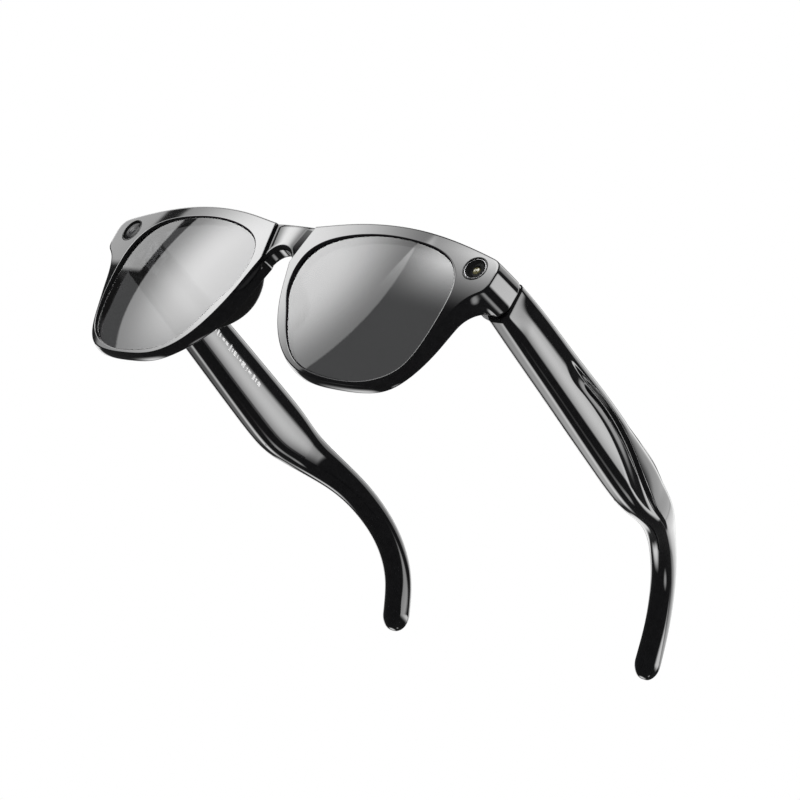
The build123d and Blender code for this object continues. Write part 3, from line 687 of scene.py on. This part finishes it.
def cover_sheet(inner_crown, start, stop, low, high, proud=0.12, taper=0.0, rows=90):
    """A thin cover that follows the inner face between two heights, given as offsets from its middle."""
    verts = []
    count = 26
    cols = count + 4
    for y in np.linspace(start, stop, rows):
        row = station_at(y)
        edge = min((y - start) / COVER_EDGE, (stop - y) / COVER_EDGE, 1.0)
        round_end = COVER_NARROWING * (1 - sqrt(max(1 - (1 - edge) ** 2, 0)))
        b0, b1 = low(row) + round_end, high(row) - round_end
        marks = [(b0, -0.5), (b0, 0.04)]
        marks += [(b0 + (b1 - b0) * t, proud) for t in np.linspace(0.012, 0.988, count)]
        marks += [(b1, 0.04), (b1, -0.5)]
        sunk = (0.5 if edge <= 0 else 0.0) + taper * (1 - float(step(0, 14, stop - y)))
        for b, out in marks:
            verts.append(tuple(skin(row, -row[3] / 2, b, inner_crown, out - sunk)))
    faces = grid_faces(rows, cols, 0, False, False)
    back = [(i * cols + cols - 1, i * cols, (i + 1) * cols, (i + 1) * cols + cols - 1)
            for i in range(rows - 1)]
    ends = [tuple(range(cols)), tuple(reversed(range((rows - 1) * cols, rows * cols)))]
    return verts, faces + back + ends


def bottom_of(row):
    """The cover's lower edge, as an offset from the temple's middle."""
    return -row[4] / 2 + row[7] + COVER_MARGIN


def top_of(row):
    """The cover's upper edge."""
    return row[4] / 2 - row[7] - COVER_MARGIN


def under_window(row):
    """The lower edge of the slider's window."""
    return SLIDER_V - row[2] - SLIDER_HALF


def over_window(row):
    """The upper edge of the slider's window."""
    return SLIDER_V - row[2] + SLIDER_HALF


def left_sheet(start, stop, low, high):
    """One part of the left cover, which is cut round the slider's window."""
    return cover_sheet(PLAIN_CROWN, start, stop, low, high)


beside = (SLIDER_START - SLIDER_OVERLAP, SLIDER_END + SLIDER_OVERLAP)
left_cover = join(left_sheet(COVER_START, SLIDER_START, bottom_of, top_of),
                  left_sheet(*beside, bottom_of, under_window),
                  left_sheet(*beside, over_window, top_of),
                  left_sheet(SLIDER_END, COVER_END, bottom_of, top_of))
right_cover = cover_sheet(ROUND_CROWN, COVER_START, LONG_COVER_END, bottom_of, top_of, 0.05, 0.25)
piece("temple_cover_moulded_left", *left_cover, cover_gloss, "temple_left", "cover_gloss",
      ("temple_cover_left",), sharp=40)
piece("temple_cover_moulded_right", *mirrored(*right_cover), cover_gloss, "temple_right", "cover_gloss",
      ("temple_cover_right",), sharp=40)


def printed_row():
    """A row of short plain bars and dots printed on the cover, in place of any wording."""
    parts = []
    y = MARK_START
    # length, gap after it and half the height
    for length, gap, tall in ((1.1, 0.5, 0.7), (0.5, 0.5, 0.5), (0.5, 0.9, 0.5), (1.6, 0.6, 0.35), (0.8, 0.5, 0.7),
                              (0.5, 0.9, 0.5), (1.3, 0.5, 0.35), (1.3, 1.0, 0.35), (0.7, 0.5, 0.8), (0.5, 0.5, 0.5),
                              (1.2, 0.6, 0.6), (0.5, 0.9, 0.5), (0.8, 0.5, 0.35), (1.6, 1.0, 0.6), (0.5, 0.5, 0.5),
                              (1.5, 1.0, 0.35), (0.9, 0.6, 0.7), (0.5, 0.8, 0.5), (1.2, 0.4, 0.5)):
        corners = []
        tall *= MARK_TALL
        for at, b in ((y, MARK_LINE - tall), (y + length, MARK_LINE - tall),
                      (y + length, MARK_LINE + tall), (y, MARK_LINE + tall)):
            corners.append((station_at(at), b))
        verts = [tuple(skin(row, -row[3] / 2, b, ROUND_CROWN, out))
                 for out in (0.03, 0.08) for row, b in corners]
        faces = [(0, 1, 2, 3), (7, 6, 5, 4), (0, 4, 5, 1), (1, 5, 6, 2), (2, 6, 7, 3), (3, 7, 4, 0)]
        parts.append((verts, faces))
        y += length + gap
    return join(*parts)


piece("printed_row_right", *mirrored(*printed_row()), mark_grey, "temple_right", "cover_gloss", sharp=30)


# Camera and capture light ----------------------------------------------------------------

def lathe(profile, side, steps=64):
    """A turned piece on the camera's axis from (radius, depth) points; side is 1 or -1."""
    turn = np.arcsin(EYE_X / FACE_R)
    tip = EYE_V / FACE_RISE_R
    out = unit([-sin(turn), cos(turn), -tip * 0.98])
    across = unit([cos(turn), sin(turn), 0])
    up = np.cross(across, out)
    middle = np.array([EYE_X, float(face_y(EYE_X, EYE_V)), EYE_V])
    verts = []
    for r, depth in profile:
        for a in np.linspace(0, 2 * pi, steps + 1)[:-1]:
            verts.append(tuple(middle + out * depth + (across * cos(a) + up * sin(a)) * max(r, 0.001)))
    verts = [(side * x, y, v) for x, y, v in verts]
    return verts, grid_faces(len(profile), steps, 0, False, True)


def round_over(r_in, r_out, low, high, n=7):
    """Profile points over a rounded bead between two radii."""
    mid, half = (r_in + r_out) / 2, (r_out - r_in) / 2
    return [(mid + half * cos(t), low - (low - high) * sin(t)) for t in np.linspace(0, pi, n)]


OUTER_BEAD = [(3.5, 1.2), (3.62, 0.3)] + round_over(3.1, 3.62, 0.08, -0.06) + [(2.98, 0.5)]
BRIGHT_BEAD = [(3.06, 0.6)] + round_over(2.86, 3.06, 0.2, 0.12) + [(2.86, 0.6)]
THROAT = [(2.9, 0.3), (2.6, 0.36), (2.1, 0.75), (1.7, 1.0), (1.15, 1.15), (0.02, 1.15)]
EYE = [(1.12, 1.14), (0.98, 1.0), (0.7, 0.9), (0.35, 0.86), (0.001, 0.85)]
LIGHT_FACE = [(3.05, 0.55), (2.9, 0.3), (2.1, 0.22), (1.0, 0.17), (0.001, 0.16)]
LIGHT_DOME = [(1.3, 0.2), (1.15, 0.06), (0.8, 0.0), (0.4, -0.03), (0.001, -0.04)]
piece("camera_bezel", *lathe(OUTER_BEAD, 1), dark_ring, "front", "frame_gloss", ("camera_trim_ring",), sharp=60)
piece("capture_light_bezel", *lathe(OUTER_BEAD, -1), dark_ring, "front", "frame_gloss",
      ("capture_light_ring",), sharp=60)
piece("camera_bright_ring", *lathe(BRIGHT_BEAD, 1), ring_metal, "front", "ring_metal", sharp=60)
piece("camera_throat", *lathe(THROAT, 1), matte_black, "front", "lens_barrel", ("camera_cover_glass",), sharp=40)
piece("camera_eye", *lathe(EYE, 1), optic, "front", "optic_glass", ("camera_lens",))
piece("capture_light_lens", *lathe(LIGHT_FACE, -1), smoked_face, "front", "light_window",
      ("capture_light_window",))
piece("capture_light_dome", *lathe(LIGHT_DOME, -1), dark_dome, "front", "light_window")


SEAT_R = 3.56          # the round seat cut for the camera and for the light
SEAT_DEPTH = 1.3
SEAT_STEPS = 96


def bore(target, side):
    """Sinks the round seat of the camera or the light into the front."""
    cutter = bpy.data.meshes.new("cutter")
    verts, faces = lathe([(SEAT_R, -2.0), (SEAT_R, SEAT_DEPTH)], side, SEAT_STEPS)
    faces = [tuple(f) for f in faces]
    faces += [tuple(range(SEAT_STEPS)), tuple(reversed(range(SEAT_STEPS, 2 * SEAT_STEPS)))]
    cutter.from_pydata([place(*p) for p in verts], [], faces)
    fix_normals(cutter)
    tool = bpy.data.objects.new("cutter", cutter)
    bpy.context.scene.collection.objects.link(tool)
    cut = target.modifiers.new("bore", "BOOLEAN")
    cut.operation, cut.solver, cut.object = "DIFFERENCE", "EXACT", tool
    bpy.context.view_layer.update()
    shaped = bpy.data.meshes.new_from_object(target.evaluated_get(bpy.context.evaluated_depsgraph_get()))
    target.modifiers.clear()
    target.data = shaped
    bpy.data.objects.remove(tool)


for side in (1, -1):
    bore(front_frame, side)


# CAD pieces that show as they are --------------------------------------------------------

FINISHES = {
    "brow_cover": cover_gloss, "front_flex": amber, "camera_trim_ring": dark_ring,
    "camera_cover_glass": clear_glass,
    "camera_barrel": matte_black, "camera_lens": optic, "camera_sensor": board, "capture_light_ring": dark_ring,
    "capture_light_window": smoked, "capture_light_board": board, "end_cover": cover_gloss,
    "bridge_microphone": matte_black, "charging_contacts": gold, "hinge_front_leaf": steel, "hinge_pin": steel,
    "hinge_front_screws": steel, "hinge_temple_leaf": steel, "hinge_temple_screws": steel,
    "temple_cover": cover_gloss, "speaker_grille": matte_black, "speaker": matte_black,
    "temple_microphone": matte_black,
    "temple_flex": amber, "battery": foil, "charge_board": board, "power_switch_body": matte_black,
    "power_slider": pad_black, "main_board": board, "processor_shield": foil, "radio_module": foil,
    "touch_sensor": amber, "capture_switch": matte_black, "capture_button": gloss,
}
for name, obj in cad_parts.items():
    kind = next((k for k in sorted(FINISHES, key=len, reverse=True) if name.startswith(k)), None)
    if kind:
        for slot in obj.material_slots:
            slot.material = FINISHES[kind]


# Light, floor and camera -----------------------------------------------------------------

CAMERA_AT = (784.16, -687.73, -377.90)
CAMERA_RIGHT = (0.725213, 0.535804, 0.432412)
CAMERA_UP = (-0.103819, -0.535751, 0.837969)
CAMERA_LENS = 190.09
FLOOR_Z = -0.62        # metres
FLOOR_HALF = 4         # half its side, in metres

camera = bpy.data.objects.new("camera", bpy.data.cameras.new("camera"))
bpy.context.scene.collection.objects.link(camera)
right, up = Vector(CAMERA_RIGHT).normalized(), Vector(CAMERA_UP).normalized()
back = right.cross(up)
turn = Matrix((right, up, back)).transposed().to_4x4()
camera.matrix_world = Matrix.Translation(place(*CAMERA_AT)) @ turn
camera.data.lens = CAMERA_LENS
camera.data.sensor_width = 36.0
camera.data.clip_end = 50
bpy.context.scene.camera = camera

floor_mesh = bpy.data.meshes.new("floor")
corners = [(x * FLOOR_HALF, y * FLOOR_HALF, FLOOR_Z) for x, y in ((-1, -1), (1, -1), (1, 1), (-1, 1))]
floor_mesh.from_pydata(corners, [], [(0, 1, 2, 3)])
floor = bpy.data.objects.new("floor", floor_mesh)
bpy.context.scene.collection.objects.link(floor)
m, tree, bsdf = shader("pale_floor")
tree.links.new(spread(tree, noise(tree, 30.0).outputs["Fac"], 0.79, 0.81), bsdf.inputs["Base Color"])
bsdf.inputs["Roughness"].default_value = 0.9
floor_mesh.materials.append(m)
floor.visible_glossy = False

# The studio is painted on the sky by direction. The camera itself sees plain white there, and
# matt surfaces are lit evenly. Azimuth is 0 in front of the glasses and 90 on the wearer's left.
world = bpy.data.worlds.new("studio")
bpy.context.scene.world = world
world.use_nodes = True
wt = world.node_tree
wt.nodes.clear()


def node(kind, **values):
    """A new node in the world's tree."""
    n = wt.nodes.new(kind)
    for k, value in values.items():
        setattr(n, k, value)
    return n


def maths(operation, *values):
    """The result of one sum on numbers or other nodes' results."""
    n = node("ShaderNodeMath", operation=operation)
    for socket, value in zip(n.inputs, values):
        if isinstance(value, (int, float)):
            socket.default_value = value
        else:
            wt.links.new(value, socket)
    return n.outputs[0]


def total_of(operation, values):
    """All the values added or multiplied together."""
    result = values[0]
    for value in values[1:]:
        result = maths(operation, result, value)
    return result


def ramp(value, start, end, low=0.0, high=1.0, kind="SMOOTHSTEP"):
    """low up to start, high from end on, and smooth in between."""
    n = node("ShaderNodeMapRange", interpolation_type=kind)
    wt.links.new(value, n.inputs["Value"])
    for name, number in (("From Min", start), ("From Max", end), ("To Min", low), ("To Max", high)):
        n.inputs[name].default_value = number
    return n.outputs["Result"]


sky = node("ShaderNodeTexCoord").outputs["Generated"]
parts = node("ShaderNodeSeparateXYZ")
wt.links.new(sky, parts.inputs[0])
azimuth = maths("DEGREES", maths("ARCTAN2", parts.outputs[0], maths("MULTIPLY", parts.outputs[1], -1.0)))
elevation = maths("DEGREES", maths("ARCSINE", parts.outputs[2]))


def oval(az, el, half_az, half_el):
    """0 in the middle of an oval patch of sky and 1 on its edge."""
    u = maths("DIVIDE", maths("SUBTRACT", azimuth, az), half_az)
    w = maths("DIVIDE", maths("SUBTRACT", elevation, el), half_el)
    return maths("SQRT", maths("ADD", maths("MULTIPLY", u, u), maths("MULTIPLY", w, w)))


def window(az_start, az_end, el_start, el_end, soft_az, soft_el):
    """1 inside a patch of sky; each side has its own softness."""
    return total_of("MULTIPLY", [
        ramp(azimuth, az_start - soft_az, az_start + soft_az),
        ramp(azimuth, az_end - soft_az, az_end + soft_az, 1, 0),
        ramp(elevation, el_start - soft_el[0], el_start + soft_el[0]),
        ramp(elevation, el_end - soft_el[1], el_end + soft_el[1], 1, 0)])


# Soft boxes, each with its place in degrees and its brightness.
key_reach = oval(-50.3, 21.8, 15.0, 13.2)
key = maths("MULTIPLY", ramp(key_reach, 0.985, 1.015, 1, 0), ramp(key_reach, 0.25, 1.02, 14.5, 3.6))
left_strip = maths("MULTIPLY", window(-105, -67.2, 20.2, 60, 0.3, (0.3, 6)), 4.2)
rise = ramp(elevation, 21.3, 27.4, 0, 1, "LINEAR")
top_right = total_of("MULTIPLY", [maths("MULTIPLY", rise, rise), ramp(azimuth, -37.6, -37.1),
                                  ramp(azimuth, -38, -29, 6.0, 17.5), ramp(azimuth, -14, 4, 1, 0),
                                  ramp(elevation, 46, 60, 1, 0)])
side_panel = total_of("MULTIPLY", [window(96, 160, 9, 22.5, 2.5, (9, 1.6)),
                                   ramp(oval(132, 12, 34, 16), 0.0, 1.0, 13.5, 6.5)])
low_right = ramp(oval(150, -43, 15, 13), 0.15, 1.0, 5.5, 0)
low_left = ramp(oval(-139, -41, 22, 21), 0.15, 1.0, 7.5, 0)
rear_left = maths("MULTIPLY", window(-150, -112, -10, 8, 4, (3, 3)), 2.6)
rear_top = maths("MULTIPLY", total_of("ADD", [window(104, 161, 39, 70, 4, (3, 8)),
                                              window(161, 181, 15, 70, 4, (5, 8)),
                                              window(-181, -150, 14, 66, 5, (5, 8))]), 3.0)
FILL = 0.1
panels = [key, left_strip, top_right, side_panel, low_right, low_left, rear_left, rear_top]
glow = maths("ADD", total_of("ADD", panels), FILL)

rays = node("ShaderNodeLightPath")
studio = node("ShaderNodeBackground")
wt.links.new(glow, studio.inputs["Strength"])
plain = node("ShaderNodeBackground")
plain.inputs["Color"].default_value = (1, 1, 1, 1)
plain.inputs["Strength"].default_value = 1.0
mix = node("ShaderNodeMixShader")
mirrored_only = maths("MULTIPLY", rays.outputs["Is Glossy Ray"],
                      maths("SUBTRACT", 1.0, rays.outputs["Is Transmission Ray"]))
wt.links.new(mirrored_only, mix.inputs["Fac"])
wt.links.new(plain.outputs[0], mix.inputs[1])
wt.links.new(studio.outputs[0], mix.inputs[2])
end = node("ShaderNodeOutputWorld")
wt.links.new(mix.outputs[0], end.inputs["Surface"])

bpy.context.scene.view_settings.view_transform = "Standard"
